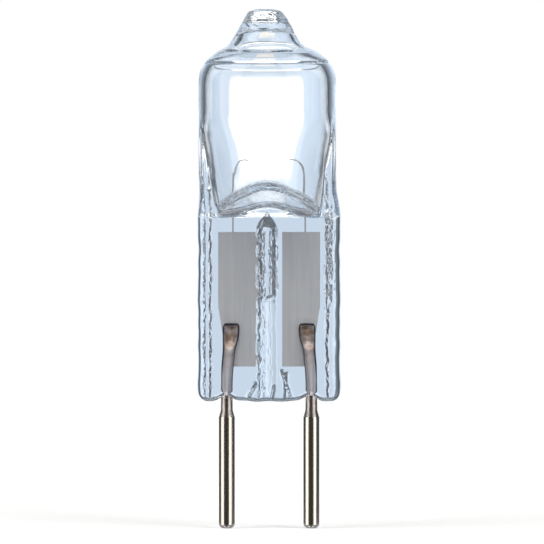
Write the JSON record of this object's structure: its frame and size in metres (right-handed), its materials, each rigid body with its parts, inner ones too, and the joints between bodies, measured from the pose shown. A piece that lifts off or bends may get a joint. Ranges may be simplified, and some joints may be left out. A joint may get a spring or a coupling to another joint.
{
  "type": "halogen bulb",
  "caption": "Clear quartz capsule bulb with a transverse coil, a flat pinch seal holding thin metal foils, and straight plug-in contact pins for a low-voltage lamp holder.",
  "frame": {"origin": "midway between the two contact pins, in the plane of their free ends", "axes": "+Z along the lamp axis from the pin ends to the exhaust tip, X through both pins, -Y out of the front face of the pinch seal"},
  "size_m": [0.0108, 0.0104, 0.039],
  "materials": {
    "quartz": "clear fused quartz, fire polished, with a faint blue cast",
    "tungsten": "drawn tungsten wire, lit white-hot",
    "foil": "matt rolled molybdenum foil",
    "lead_pin": "bright plated contact pin with a duller grey shank"
  },
  "bodies": {
    "root": {"quartz_envelope": "quartz", "filament": "tungsten", "left_foil": "foil", "right_foil": "foil", "left_lead_pin": "lead_pin", "right_lead_pin": "lead_pin"}
  },
  "joints": []
}
